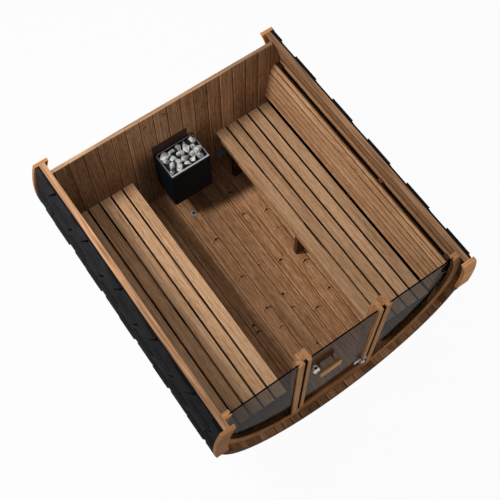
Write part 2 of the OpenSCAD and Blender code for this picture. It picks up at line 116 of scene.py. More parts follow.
class Paint:
    """A material built from nodes."""

    def __init__(self, name):
        self.mat = bpy.data.materials.new(name)
        self.mat.use_nodes = True
        self.nodes = self.mat.node_tree.nodes
        self.links = self.mat.node_tree.links
        self.nodes.clear()

    def put(self, socket, value):
        if isinstance(value, bpy.types.NodeSocket):
            self.links.new(value, socket)
        else:
            socket.default_value = value

    def node(self, kind, settings=None, **inputs):
        n = self.nodes.new("ShaderNode" + kind)
        for key, value in (settings or {}).items():
            setattr(n, key, value)
        for key, value in inputs.items():
            self.put(n.inputs[key.replace("_", " ")], value)
        return n

    def math(self, operation, a, b=0.0, c=0.0):
        n = self.nodes.new("ShaderNodeMath")
        n.operation = operation
        for socket, value in zip(n.inputs, (a, b, c)):
            self.put(socket, value)
        return n.outputs[0]

    def chain(self, operation, terms):
        out = terms[0]
        for t in terms[1:]:
            out = self.math(operation, out, t)
        return out

    def total(self, *terms):
        return self.chain("ADD", terms)

    def product(self, *terms):
        return self.chain("MULTIPLY", terms)

    def scaled(self, value, factor, offset):
        return self.math("MULTIPLY_ADD", value, factor, offset)

    def away(self, value, centre):
        """How far a value lies from a centre, either way."""
        return self.math("ABSOLUTE", self.math("SUBTRACT", value, centre))

    def length(self, *legs):
        return self.math("SQRT", self.total(*[self.math("POWER", leg, 2.0) for leg in legs]))

    def vector(self, x, y, z):
        return self.node("CombineXYZ", X=x, Y=y, Z=z).outputs[0]

    def split(self, vector):
        return self.node("SeparateXYZ", Vector=vector).outputs[:3]

    def noise(self, vector, scale=1.0, detail=2.0, roughness=0.5):
        n = self.node("TexNoise", Vector=vector, Scale=scale, Detail=detail, Roughness=roughness)
        return n.outputs[0]

    def chance(self, value):
        """A fixed random number from 0 to 1 for each whole number."""
        return self.node("TexWhiteNoise", {"noise_dimensions": "1D"}, W=value).outputs[0]

    def step(self, value, low, high):
        """0 at low, 1 at high, smooth between."""
        n = self.node("MapRange", {"interpolation_type": "SMOOTHSTEP"}, Value=value)
        n.inputs["From Min"].default_value = low
        n.inputs["From Max"].default_value = high
        return n.outputs[0]

    def band(self, value, rise, fall):
        """1 between two smooth slopes, 0 beyond them."""
        return self.product(self.step(value, *rise), self.step(value, *fall))

    def mix(self, share, a, b, blend="MIX"):
        n = self.nodes.new("ShaderNodeMix")
        n.data_type = "RGBA"
        n.blend_type = blend
        for index, value in ((0, share), (6, a), (7, b)):
            self.put(n.inputs[index], value)
        return n.outputs[2]

    def shade(self, colour, factor):
        return self.mix(1.0, colour, self.vector(factor, factor, factor), "MULTIPLY")

    def darken(self, colour, share, depth):
        """Takes depth, a share of the light, off where share is 1."""
        return self.shade(colour, self.scaled(share, -depth, 1.0))

    def tint(self, colour, share, factors):
        return self.mix(share, colour, self.mix(1.0, colour, factors + (1.0,), "MULTIPLY"))

    def ramp(self, share, *stops):
        n = self.nodes.new("ShaderNodeValToRGB")
        self.put(n.inputs[0], share)
        while len(n.color_ramp.elements) < len(stops):
            n.color_ramp.elements.new(0.5)
        for e, (at, colour) in zip(n.color_ramp.elements, stops):
            e.position = at
            e.color = colour
        return n.outputs[0]

    def place(self):
        """Object coordinates, in metres, as three sockets."""
        return self.split(self.node("TexCoord").outputs["Object"])

    def facing(self, axis, output="True Normal"):
        """One part of the way that a face looks."""
        return self.split(self.node("NewGeometry").outputs[output])[axis]

    def upward(self):
        """1 where a face looks straight up."""
        return self.step(self.facing(2, "Normal"), 0.97, 0.99)

    def bump(self, height, strength, distance=0.001):
        return self.node("Bump", Height=height, Strength=strength, Distance=distance).outputs[0]

    def either(self, share, a, b):
        """Shader a, or shader b where share is 1."""
        n = self.nodes.new("ShaderNodeMixShader")
        for socket, value in zip(n.inputs, (share, a, b)):
            self.put(socket, value)
        return n.outputs[0]

    def principled(self, **inputs):
        return self.node("BsdfPrincipled", **inputs).outputs[0]

    def finish(self, shader):
        out = self.node("OutputMaterial")
        self.links.new(shader, out.inputs["Surface"])
        return self.mat


def layout(p, kind):
    """Along the grain, across it, depth, the board's number and the way from its first joint."""
    x, y, z = p.x, p.y, p.z
    # Numbers that keep the boards of one side or row from sharing their luck with another's
    bench_apart, rest_apart, row_apart, curve_apart, level_apart = 40.0, 60.0, 20.0, 3.0, 5.0
    post_width, post_row, grain_radius = 0.034, 0.1, 1.03

    def side():
        return p.math("SIGN", x)

    def turn():
        return p.math("ARCTAN2", x, p.math("SUBTRACT", AXIS, z))

    def pitches(value, start, pitch):
        return p.math("DIVIDE", p.math("SUBTRACT", value, start), pitch)

    def boards(share, pitch):
        return p.math("FLOOR", share), p.product(p.math("FRACT", share), pitch)

    if kind == "staves":
        angle = turn()
        share = p.scaled(angle, 1 / STAVE_TURN, 0.5)
        return y, p.product(angle, grain_radius), z, *boards(share, STAVE_PITCH)
    if kind == "floor":
        return y, x, z, *boards(pitches(x, 0.0, FLOOR_PITCH), FLOOR_PITCH)
    if kind == "wall":
        return z, x, y, *boards(pitches(x, WALL_START, WALL_PITCH), WALL_PITCH)
    if kind == "bench":
        share = pitches(p.math("ABSOLUTE", x), BENCH_FRONT, BENCH_PITCH)
        return y, x, z, p.scaled(side(), bench_apart, p.math("FLOOR", share)), share
    if kind == "backrest":
        number, joint = boards(pitches(z, REST_FOOT, REST_PITCH), REST_PITCH)
        return y, z, x, p.scaled(side(), rest_apart, p.math("MINIMUM", number, REST_LAST)), joint
    if kind == "upright":
        number = p.math("FLOOR", p.math("DIVIDE", x, post_width))
        row = p.math("FLOOR", p.math("DIVIDE", y, post_row))
        return z, x, y, p.scaled(row, row_apart, number), None
    if kind == "curve":
        return turn(), y, z, p.scaled(side(), curve_apart, p.math("SIGN", y)), None
    return x, y, z, p.scaled(p.math("SIGN", y), level_apart, side()), None


class Timber(Paint):
    """Paint that knows how its boards lie."""

    def __init__(self, name, kind):
        super().__init__(name)
        self.x, self.y, self.z = self.place()
        along, self.across, self.deep, self.number, self.joint = layout(self, kind)
        self.luck = self.chance(self.number)
        self.along = self.scaled(self.luck, BOARD_SHIFT, along)

    def stretched(self, across, along, deep):
        legs = (self.across, across), (self.along, along), (self.deep, deep)
        return self.vector(*[self.product(value, scale) for value, scale in legs])

    def streaks(self, across, along, detail, roughness=0.5):
        """Noise drawn out along the grain."""
        return self.noise(self.stretched(across, along, across), 1.0, detail, roughness)

    def radius(self):
        """Distance from the barrel's axis."""
        return self.length(self.x, self.math("SUBTRACT", self.z, AXIS))


def knot_marks(p, share, size):
    """A dark core, a soft halo, a curved crack and a painted highlight beside it, on a share of
    cells.
    """
    wide, long = KNOT_CELLS
    jagged, squash, soft = 0.026, 0.75, 0.55
    halo_rim, halo_heart = 0.05, 0.004
    bend, sag, shortest, longer = 11.0, -0.002, 0.032, 0.034
    crack_rim, crack_heart = size * 0.56, size * 0.17
    pale_middle, pale_rim, pale_heart = 0.007, 0.006, 0.001

    cells = p.node(
        "TexVoronoi", {"voronoi_dimensions": "2D"},
        Vector=p.stretched(wide, long, 0.0), Scale=1.0, Randomness=0.9,
    )
    pick = p.node("SeparateColor", Color=cells.outputs["Color"]).outputs
    there = p.step(pick[0], 1.0 - share, 1.02 - share)
    centre = p.split(cells.outputs["Position"])
    ragged = p.product(p.math("SUBTRACT", p.streaks(*RAGGED), 0.5), jagged)
    aside = p.total(p.across, p.product(centre[0], -1 / wide), ragged)
    ahead = p.total(p.along, p.product(centre[1], -1 / long), ragged)
    eye = p.length(p.product(aside, squash), ahead)
    core = p.product(p.step(eye, size, size * soft), there)
    halo = p.product(p.step(eye, halo_rim, halo_heart), there)

    bow = p.total(ahead, p.product(p.math("POWER", aside, 2.0), bend), sag)
    half = p.scaled(pick[1], longer, shortest)
    reach = p.step(p.math("DIVIDE", p.math("ABSOLUTE", aside), half), 1.0, 0.5)
    reach = p.product(reach, there)
    crack = p.product(p.step(p.math("ABSOLUTE", bow), crack_rim, crack_heart), reach)
    # Painted highlight beside the crack
    pale = p.product(p.step(p.away(bow, pale_middle), pale_rim, pale_heart), reach)
    return core, halo, crack, pale


def figure(p, dark, middle, light, boards, grain, knots, eyes):
    """Growth rings, fibres, shade from board to board and knots, as colour and relief."""
    patch, fibre, fleck, streak, warp = [p.streaks(*n) for n in (PATCH, FIBRE, FLECK, STREAK, WARP)]
    rings_across, rings_deep, rings_warp, rings_knot = 62.0, 30.0, 4.0, 1.6
    turns = p.total(p.product(p.across, rings_across), p.product(warp, rings_warp))
    turns = p.total(turns, p.product(p.deep, rings_deep))
    if knots:
        core, halo, crack, pale = knot_marks(p, knots, eyes)
        turns = p.scaled(halo, rings_knot, turns)
    ring = p.band(p.math("FRACT", turns), (0.0, 0.75), (1.0, 0.85))
    weights = (
        (patch, 0.5), (p.luck, boards), (ring, -0.16),
        (fibre, 0.5 * grain), (fleck, 0.7 * grain), (streak, 0.85 * grain),
    )
    swings = [p.product(p.math("SUBTRACT", mark, 0.5), weight) for mark, weight in weights]
    colour = p.ramp(p.total(0.5, *swings), (0.12, dark), (0.5, middle), (0.9, light))
    if knots:
        black = tuple(c * 0.22 for c in dark[:3]) + (1.0,)
        colour = p.mix(p.product(halo, 0.22), colour, dark)
        # Painted highlight beside each knot's crack
        colour = p.shade(colour, p.scaled(pale, 1.0, 1.0))
        colour = p.mix(p.math("MAXIMUM", core, p.product(crack, 0.75)), colour, black)
    relief = p.total(p.product(fibre, 0.6), p.product(ring, -0.4))
    return colour, relief


def seams(p, colour, pitch):
    """Dark joints between matched boards, with a painted highlight along their edges."""
    reach, core = 0.0045, 0.0015
    highlight_rise, highlight_fall = (0.0035, 0.006), (0.012, 0.008)
    before, after = p.step(p.joint, reach, core), p.step(p.joint, pitch - reach, pitch - core)
    crack = p.math("MAXIMUM", before, after)
    # Painted highlight: a pale band beside each joint, broken up by noise
    edge_highlight = p.product(p.band(p.joint, highlight_rise, highlight_fall), p.streaks(*EDGE_HIGHLIGHT_NOISE))
    return p.shade(colour, p.total(p.scaled(crack, -0.7, 1.0), p.product(edge_highlight, 1.1)))


def stave_detail(p, colour):
    """Paler inside and dark at the ends, with painted shade behind the backrests, in bands by the
    joints near the cut and inside the front overhang's right side.
    """
    skin = 0.004
    room_tint, lip_tint = (2.4, 3.05, 4.0), (1.95, 2.42, 3.15)
    lip_fade, jaw_fade = (0.74, 0.6), (0.95, 1.3)
    joint_rim, joint_heart = 0.034, 0.012
    rest_rise, rest_fall = (0.64, 0.7), (1.2, 1.18)
    rest_middle, rest_half = 0.0075, 1.027

    colour = seams(p, colour, STAVE_PITCH)
    face = p.math("LESS_THAN", p.radius(), INNER + skin)
    porch = p.math("LESS_THAN", p.y, ROOM_FRONT)
    room = p.product(face, p.math("GREATER_THAN", p.y, ROOM_FRONT))
    colour = p.tint(colour, room, room_tint)
    colour = p.tint(colour, p.product(face, porch, p.step(p.z, *lip_fade)), lip_tint)
    ends = p.step(p.math("ABSOLUTE", p.y), STAVE_END - 0.003, STAVE_END - 0.001)
    colour = p.darken(colour, ends, 0.6)
    # Painted shade: dark bands along two stave joints inside the room
    for level, depth in WALL_JOINTS:
        line = p.step(p.away(p.z, level), joint_rim, joint_heart)
        colour = p.darken(colour, p.product(room, line), depth)
    # Painted shadow inside the front overhang on the right
    right_overhang_shade = p.product(porch, p.step(p.z, *jaw_fade), p.math("GREATER_THAN", p.x, 0.0))
    colour = p.darken(colour, right_overhang_shade, 0.6)
    # Painted shade on the staves behind the backrests
    along_rest = p.math("LESS_THAN", p.away(p.y, rest_middle), rest_half)
    behind = p.product(p.band(p.z, rest_rise, rest_fall), along_rest)
    return p.darken(colour, behind, 0.97)


def floor_detail(p, colour):
    """Joints, and the heater's shadow painted on the boards in front of it."""
    heater_shadow_front, heater_shadow_side = (0.63, 0.71), (0.0, 0.07)
    colour = seams(p, colour, FLOOR_PITCH)
    # Painted shadow of the heater on the floor
    heater_shadow = p.product(p.step(p.y, *heater_shadow_front), p.step(p.x, *heater_shadow_side))
    return p.darken(colour, heater_shadow, 0.5)


def wall_detail(p, colour):
    """Joints, and painted shade that darkens the inner face to its foot and beside the heater."""
    heater_side, side_fade, height_fade, foot_fade = -0.2, (0.26, 0.05), (1.2, 0.88), (1.14, 0.84)
    colour = seams(p, colour, WALL_PITCH)
    # Painted shade: darker beside the heater and towards the wall's foot
    beside = p.product(p.step(p.away(p.x, heater_side), *side_fade), p.step(p.z, *height_fade))
    foot = p.step(p.z, *foot_fade)
    painted_wall_shade = p.product(p.scaled(foot, -0.26, 1.0), p.scaled(beside, -0.47, 1.0))
    inside = p.math("LESS_THAN", p.y, WALL_MIDDLE)
    return p.mix(inside, colour, p.shade(colour, painted_wall_shade))


def rest_detail(p, colour):
    """Dark joints with lit edges, and a shaded top."""
    lower, upper = (0.007, 0.002), (REST_PITCH - 0.006, REST_PITCH - 0.0015)
    lit_rise, lit_fall = (0.007, 0.010), (0.018, 0.012)
    crack = p.math("MAXIMUM", p.step(p.joint, *lower), p.step(p.joint, *upper))
    lit = p.band(p.joint, lit_rise, lit_fall)
    colour = p.shade(colour, p.total(p.scaled(crack, -0.78, 1.0), p.product(lit, 0.42)))
    top = p.step(p.z, REST_TOP - 0.008, REST_TOP - 0.004)
    back = p.product(top, p.step(p.math("ABSOLUTE", p.x), REST_BACK - 0.016, REST_BACK - 0.012))
    return p.shade(colour, p.total(1.0, p.product(top, -0.38), p.product(back, -0.59)))


def bench_detail(p, colour):
    """Painted highlights on the slats' rims, and painted shade on their flanks and below their tops
    in the gaps between them.
    """
    rim_highlight, flank_shade = (0.010, 0.005), (0.0034, 0.0016)
    # In pitches from the bench's front, which itself stays bright
    past_edge, past_front = (0.03, 0.06), (0.3, 0.5)
    inside = p.product(p.math("FRACT", p.joint), BENCH_PITCH)
    rim = p.math("MINIMUM", inside, p.math("SUBTRACT", BENCH_PITCH - BENCH_GAP, inside))
    # Painted highlight along each slat's rim
    colour = p.shade(colour, p.scaled(p.step(rim, *rim_highlight), 0.12, 1.0))
    # Painted shade in the gaps between the slats
    shaded_flank = p.product(p.step(p.joint, *past_edge), p.step(rim, *flank_shade))
    below = p.step(p.z, BENCH_TOP - 0.0025, BENCH_TOP - 0.006)
    sunk = p.product(below, p.step(p.joint, *past_front))
    return p.darken(colour, p.math("MAXIMUM", sunk, p.product(shaded_flank, 0.8)), 0.95)


def upright_detail(p, colour):
    """Painted shade in the glazing groove."""
    aside = p.away(p.math("ABSOLUTE", p.x), GROOVE_X)
    groove_shade = p.product(
        p.math("LESS_THAN", aside, GROOVE_HALF),
        p.math("LESS_THAN", p.y, GROOVE_BACK),
        p.math("GREATER_THAN", p.y, GROOVE_FRONT),
    )
    # Painted shade inside the groove
    return p.darken(colour, groove_shade, 0.9)


DETAILS = {
    "staves": stave_detail, "floor": floor_detail, "wall": wall_detail,
    "backrest": rest_detail, "bench": bench_detail, "upright": upright_detail,
}


def cut_face(p, kind, colour, cut, dark):
    """The sawn face on the level plane: blocks in a row, fine lines, a dark outer rim, and painted
    shade towards the back.
    """
    block_length, block_shift, lines_across, lines_along = 0.43, 0.37, 58.0, 2.4
    block = p.scaled(p.number, block_shift, p.math("DIVIDE", p.y, block_length))
    scarf = p.step(p.away(p.math("FRACT", block), 0.5), 0.492, 0.497)
    run, over = (p.x, p.y) if kind == "wall" else (p.y, p.x)
    at = p.vector(p.product(over, lines_across), p.product(run, lines_along), 0.0)
    lines = p.noise(at, detail=3.0, roughness=0.6)
    shade = p.scaled(p.chance(p.math("FLOOR", block)), 0.14, p.scaled(lines, 2.7, -0.4))
    # Painted shade: the sawn face darkens towards the back
    back_shade = p.scaled(p.step(p.y, -0.4, 1.1), -0.14, 1.02)
    face = p.mix(p.product(scarf, 0.2), p.shade(cut, p.product(shade, back_shade)), dark)
    if kind == "staves":
        rim = p.step(p.radius(), OUTER - 0.0035, OUTER - 0.002)
        face = p.mix(rim, face, srgb(14, 14, 16))
    level = p.product(p.upward(), p.step(p.z, CUT - 0.02, CUT - 0.01))
    return p.mix(level, colour, face)


def wood(
    name, kind, dark, middle, light,
    boards=0.35, grain=1.0, knots=0.0, eyes=0.009, cut=None, painted_side_light=(), beyond=None,
):
    """Heat-treated timber.

    boards and grain weigh the shade from board to board and the fibres, knots is the share of
    knotty cells and eyes their size, cut the colour of the sawn face, the rows of (x from, x to,
    brightness) paint light and shade across X, and beyond the Y past which the piece lies in
    painted shade.
    """
    p = Timber(name, kind)
    colour, relief = figure(p, dark, middle, light, boards, grain, knots, eyes)
    if kind in DETAILS:
        colour = DETAILS[kind](p, colour)
    # Painted light and shade across X
    for start, end, factor in painted_side_light:
        colour = p.shade(colour, p.scaled(p.step(p.x, start, end), factor - 1.0, 1.0))
    if cut is not None:
        colour = cut_face(p, kind, colour, cut, dark)
    if beyond is not None:
        blur = 0.003
        colour = p.darken(colour, p.step(p.y, beyond - blur, beyond + blur), 0.68)
    shader = p.principled(
        Base_Color=colour, Roughness=0.6, Specular_IOR_Level=0.03, Normal=p.bump(relief, 0.3),
    )
    return p.finish(shader)


def metal(
    name, colour, rough, metallic,
    grain=(60.0, 60.0, 900.0), strength=0.08, gloss=0.5, hole=None, shade_along_y=None,
):
    """Brushed or coated metal, with a hole at a node's middle painted dark as its shade, or painted
    shade that darkens it along Y.
    """
    p = Paint(name)
    at = p.place()
    lines = p.noise(p.vector(*[p.product(v, s) for v, s in zip(at, grain)]), detail=3.0)
    cloud = p.noise(p.vector(*at), scale=14.0, detail=3.0)
    tint = p.shade(colour, p.scaled(cloud, 0.3, p.scaled(lines, 0.25, 0.72)))
    # Painted shade: the middle of a hole painted near black
    if hole is not None:
        name, axes, size = hole
        middle = (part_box(name)[0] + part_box(name)[1]) / 2
        away = p.length(*[p.math("SUBTRACT", at[i], middle[i]) for i in axes])
        tint = p.mix(p.step(away, size, size - 0.002), tint, srgb(12, 12, 12))
    # Painted shade: darker along Y
    if shade_along_y is not None:
        tint = p.shade(tint, p.scaled(p.step(at[1], *shade_along_y), 0.4, 0.6))
    shader = p.principled(
        Base_Color=tint, Roughness=p.scaled(cloud, 0.16, rough - 0.08), Metallic=metallic,
        Specular_IOR_Level=gloss, Normal=p.bump(lines, strength),
    )
    return p.finish(shader)


def bitumen():
    """Mineral grit pressed into charcoal bitumen, dark on cut edges, with painted shade on front
    flanks and towards the front, and painted light towards the top.
    """
    p = Paint("shingle_grit")
    x, y, z = p.place()
    at = p.vector(x, y, z)
    grit = p.node("TexVoronoi", Vector=at, Scale=420.0)
    cloud = p.noise(at, scale=7.0, detail=3.0)
    grey = p.node("SeparateColor", Color=grit.outputs["Color"]).outputs[0]
    tone = p.total(p.product(grey, 0.45), p.product(cloud, 0.75), -0.12)
    colour = p.ramp(tone, (0.0, srgb(5, 5, 6)), (0.5, srgb(17, 17, 19)), (1.0, srgb(38, 39, 43)))

    # Painted shade on faces that look to the front, and towards the front
    shaded_flank = p.scaled(p.step(p.facing(1), -0.4, -0.6), -0.85, 1.0)
    front = p.scaled(p.step(y, -1.1, 1.0), 0.5, 0.62)
    level = p.scaled(p.upward(), -0.75, 1.0)
    # Painted highlight in stretches just below the cut, and painted light towards the top
    stretch = p.step(p.noise(p.vector(0.0, p.product(y, 3.4), 0.0)), 0.47, 0.55)
    cut_highlight = p.product(p.step(z, CUT - 0.035, CUT - 0.008), stretch)
    upper = p.total(0.85, p.product(p.step(z, 1.0, CUT), 0.3), cut_highlight)
    shader = p.principled(
        Base_Color=p.shade(colour, p.product(shaded_flank, front, level, upper)), Roughness=0.92,
        Specular_IOR_Level=0.12, Normal=p.bump(grit.outputs["Distance"], 0.5, 0.002),
    )
    return p.finish(shader)


def rock(name, dark, middle, light, foot=None):
    """Speckled stone, with painted shade on its flanks and near its foot."""
    p = Paint(name)
    x, y, z = p.place()
    at = p.vector(x, y, z)
    cloud = p.noise(at, scale=34.0, detail=4.0, roughness=0.6)
    speck = p.noise(at, scale=260.0, detail=3.0, roughness=0.7)
    tone = p.total(p.product(cloud, 0.75), p.product(speck, 0.4), -0.07)
    colour = p.ramp(tone, (0.34, dark), (0.5, middle), (0.66, light))
    if foot is not None:
        # Painted shade: darker near the foot and on faces that do not look up
        above = p.scaled(p.step(z, foot + 0.004, foot + 0.03), 0.95, 0.05)
        top = p.scaled(p.step(p.facing(2), 0.1, 0.6), 0.92, 0.08)
        colour = p.shade(colour, p.product(above, top))
    height = p.total(cloud, p.product(speck, 0.4))
    relief = p.bump(height, 0.9, 0.007)
    return p.finish(p.principled(Base_Color=colour, Roughness=0.85, Normal=relief))


def glass():
    """Grey tinted pane that lets lamps through to what is behind it."""
    p = Paint("grey_glass")
    clear = p.principled(
        Base_Color=(0.25, 0.25, 0.25, 1.0), Roughness=0.02, IOR=1.02, Transmission_Weight=1.0,
    )
    tint = p.node("BsdfTransparent", Color=(0.15, 0.155, 0.16, 1.0)).outputs[0]
    lamps = p.node("LightPath").outputs["Is Shadow Ray"]
    return p.finish(p.either(lamps, clear, tint))


def plastic(name, colour, rough, gloss=0.5):
    """Plain dull stuff with a fine grain."""
    p = Paint(name)
    at = p.vector(*p.place())
    grain = p.noise(at, scale=700.0)
    cloud = p.noise(at, scale=20.0)
    shader = p.principled(
        Base_Color=p.shade(colour, p.scaled(cloud, 0.5, 0.75)), Roughness=rough,
        Specular_IOR_Level=gloss, Normal=p.bump(grain, 0.15, 0.0005),
    )
    return p.finish(shader)


STAVE = wood(
    "stave_wood", "staves", srgb(62, 37, 21), srgb(112, 73, 43), srgb(150, 105, 68),
    knots=0.06, cut=srgb(154, 115, 85),
)
# Rows of (x from, x to, brightness) in the calls below paint light and shade across X
FLOOR = wood(
    "floor_wood", "floor", srgb(88, 57, 37), srgb(141, 102, 71), srgb(184, 142, 107),
    boards=-0.13, grain=1.25, knots=0.24, eyes=0.0125,
    painted_side_light=((0.0, 0.3, 1.4), (0.22, 0.32, 1.36), (-0.14, -0.26, 1.12)),
)
WALL = wood(
    "wall_wood", "wall", srgb(100, 70, 48), srgb(164, 125, 92), srgb(206, 167, 130),
    boards=-0.2, grain=1.1, knots=0.2, cut=srgb(166, 130, 99),
    painted_side_light=((-0.2, -0.85, 0.7), (0.5, 0.7, 0.84)),
)
BENCH = wood(
    "bench_wood", "bench", srgb(142, 104, 73), srgb(191, 151, 114), srgb(221, 184, 147),
    boards=0.1, grain=1.15, painted_side_light=((0.0, 0.1, 0.88), (0.55, 0.95, 1.42)),
)
REST = wood(
    "backrest_wood", "backrest", srgb(128, 90, 59), srgb(182, 138, 100), srgb(215, 172, 132),
    boards=0.06, grain=1.35,
)
APRON = wood(
    "apron_wood", "level", srgb(120, 82, 54), srgb(166, 123, 87), srgb(192, 150, 112),
    boards=0.1, painted_side_light=((0.0, 0.1, 1.3),),
)
UPRIGHT = wood(
    "upright_wood", "upright", srgb(120, 79, 48), srgb(172, 124, 83), srgb(204, 157, 114),
    boards=0.2,
)
RAIL = wood(
    "rail_wood", "curve", srgb(118, 79, 49), srgb(170, 122, 82), srgb(200, 153, 110), boards=0.1,
)
ARCH = wood(
    "arch_wood", "curve", srgb(104, 66, 38), srgb(152, 105, 67), srgb(182, 135, 92),
    boards=0.05, painted_side_light=((-0.1, 0.1, 2.05),),
)
BEAM = wood(
    "beam_wood", "level", srgb(84, 57, 38), srgb(126, 90, 62), srgb(156, 117, 85),
    boards=0.1, knots=0.06,
)
# Pale pull wood for the outer pull: painted light, beside the darker inner pull
PULL = wood(
    "pull_wood", "level", srgb(150, 104, 68), srgb(222, 166, 116), srgb(238, 190, 144),
    boards=0.05, beyond=-1.123,
)
SILL = wood(
    "sill_wood", "level", srgb(92, 56, 32), srgb(136, 91, 56), srgb(164, 116, 76), boards=0.05,
)
SUPPORT = wood(
    "support_wood", "upright", srgb(66, 44, 30), srgb(104, 72, 49), srgb(134, 97, 69),
    boards=0.1, beyond=0.6,
)
SHINGLE = bitumen()
# Near-black for the strips that paint the shingle tabs' shadows
SHADE = plastic("tab_shadow_black", srgb(4, 4, 5), 0.9, 0.0)
STEEL = metal("satin_steel", srgb(180, 183, 187), 0.3, 1.0)
# The rim keeps its front bar bright and is painted darker behind it, as shade
RIM = metal(
    "rim_steel", srgb(214, 215, 217), 0.35, 0.9,
    shade_along_y=(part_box("heater_rim")[0].y + 0.03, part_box("heater_rim")[0].y + 0.014),
)
BLACK = metal("black_coat", srgb(13, 20, 25), 0.55, 0.0, (800.0, 800.0, 800.0), 0.12, 0.05)
# Dark brown for the sheet behind the heater, painted as the heater's shadow on the wall
HEATER_SHADOW = metal("heater_shadow_brown", srgb(62, 42, 29), 0.7, 0.0, (90.0, 90.0, 8.0), 0.12, 0.2)
VENT = plastic("vent_plastic", srgb(104, 112, 113), 0.5)
# The drain's and the knob's holes are painted near black as their shade
DRAIN = metal("pale_steel", srgb(138, 141, 144), 0.45, 0.3, hole=("floor_drain", (0, 1), 0.013))
KNOB = metal("knob_steel", srgb(190, 188, 182), 0.32, 1.0, hole=("door_knob", (0, 1), 0.011))
EDGE = plastic("glass_edge", srgb(8, 9, 10), 0.3, 0.0)
STONE = rock(
    "pale_stone", srgb(84, 84, 83), srgb(190, 190, 188), srgb(252, 252, 250),
    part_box("stone_bed")[1].z,
)
BED = rock("shaded_stone", srgb(6, 6, 6), srgb(14, 14, 14), srgb(26, 26, 26))
GLASS = glass()

DRESS = (
    (STAVE, "bottom_staves", "left_low_staves", "right_low_staves", "left_mid_staves"),
    (STAVE, "right_mid_staves", "left_top_staves", "right_top_staves"),
    (BEAM, "cradles"),
    (ARCH, "front_arches", "back_arches"),
    (SHINGLE, "left_shingles", "right_shingles"),
    (FLOOR, "room_floor"),
    (WALL, "back_wall"),
    # The inner pull takes the darker sill wood: painted shade for the pull behind the glass
    (SILL, "door_sill", "inner_pull"),
    (RAIL, "left_rail", "right_rail"),
    (UPRIGHT, "left_stile", "right_stile", "left_jamb", "right_jamb", "room_posts"),
    (GLASS, "left_pane", "right_pane", "door_pane"),
    (PULL, "outer_pull"),
    (KNOB, "door_knob"),
    (STEEL, "hinge_leaf", "hinge_bracket"),
    (BENCH, "left_bench", "right_bench"),
    (APRON, "bench_aprons"),
    (SUPPORT, "left_supports", "right_supports", "backrest_blocks"),
    (REST, "left_backrest", "right_backrest"),
    (BLACK, "heater_casing", "heater_hangers"),
    (RIM, "heater_rim"),
    (HEATER_SHADOW, "heater_shield"),
    (BED, "stone_bed"),
    (VENT, "wall_vent"),
    (DRAIN, "floor_drain"),
)
for material, *names in DRESS:
    for name in names:
        nodes[name].data.materials.clear()
        nodes[name].data.materials.append(material)


class Shape:
    """Points and faces gathered into one mesh."""

    def __init__(self):
        self.points = []
        self.faces = []

    def add(self, points, faces):
        start = len(self.points)
        self.points += [tuple(q) for q in points]
        self.faces += [[start + i for i in f] for f in faces]

    def loft(self, rings):
        """A closed solid through rings of equal length, capped at both ends."""
        n = len(rings[0])
        points = [q for ring in rings for q in ring]
        faces = [list(range(n))[::-1], list(range(len(points) - n, len(points)))]
        for k in range(len(rings) - 1):
            for i in range(n):
                j = (i + 1) % n
                faces.append([k * n + i, k * n + j, (k + 1) * n + j, (k + 1) * n + i])
        self.add(points, faces)

    def piece(self, name, material, body, slot):
        mesh = bpy.data.meshes.new(name)
        mesh.from_pydata(self.points, [], self.faces)
        mesh.validate()
        mesh.update()
        mesh.materials.append(material)
        obj = bpy.data.objects.new(name, mesh)
        bpy.context.scene.collection.objects.link(obj)
        bm = bmesh.new()
        bm.from_mesh(mesh)
        bmesh.ops.recalc_face_normals(bm, faces=bm.faces)
        bm.to_mesh(mesh)
        bm.free()
        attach(obj, body)
        return obj


def clamp(value, low, high):
    return min(max(value, low), high)


def floor_boards():
    """Matched boards front to back, with eased upper edges."""
    low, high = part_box("room_floor")
    gap, ease, flare = 0.0008, 0.003, 1.47
    foot = high.x - (high.z - low.z) * flare
    shape = Shape()
    first = math.floor(low.x / FLOOR_PITCH)
    for k in range(first, -first):
        left = max(k * FLOOR_PITCH + gap, low.x)
        right = min((k + 1) * FLOOR_PITCH - gap, high.x)
        section = [
            (max(left, -foot), low.z), (min(right, foot), low.z), (right, high.z - ease),
            (right - ease, high.z), (left + ease, high.z), (left, high.z - ease),
        ]
        shape.loft([[(x, y, z) for x, z in section] for y in (low.y, high.y)])
    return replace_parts(shape.piece("floor_boards", FLOOR, "sauna", "floor_wood"), "room_floor")


def wall_boards():
    """Upright matched boards with eased edges, cut to the barrel's curve."""
    low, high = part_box("back_wall")
    gap, ease, reach = 0.0006, 0.0035, INNER - 0.0005
    margin, narrowest, spans = 0.002, 0.012, 6
    shape = Shape()
    k = math.floor((-reach - WALL_START) / WALL_PITCH)
    while WALL_START + k * WALL_PITCH < reach:
        left = max(WALL_START + k * WALL_PITCH + gap, -reach + margin)
        right = min(WALL_START + (k + 1) * WALL_PITCH - gap, reach - margin)
        k += 1
        if right - left < narrowest:
            continue
        width = right - left - 2 * ease
        inner = [left + ease + width * i / spans for i in range(spans + 1)]
        rings = []
        for x in [left] + inner + [right]:
            back = ease if x in (left, right) else 0.0
            rise = math.sqrt(reach**2 - x * x)
            foot, head = AXIS - rise, min(AXIS + rise, CUT)
            front, rear = low.y + back, high.y - back
            rings.append([(x, front, foot), (x, front, head), (x, rear, head), (x, rear, foot)])
        shape.loft(rings)
    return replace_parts(shape.piece("wall_boards", WALL, "sauna", "wall_wood"), "back_wall")


def shell_ring(side, turn, inn, out, front, rear):
    """Four points of a strip on the barrel's outside, none above the cut."""
    cos, sin = math.cos(turn), math.sin(turn)
    corners = ((inn, front), (out, front), (out, rear), (inn, rear))
    return [(side * r * cos, y, min(AXIS + r * sin, CUT)) for r, y in corners]


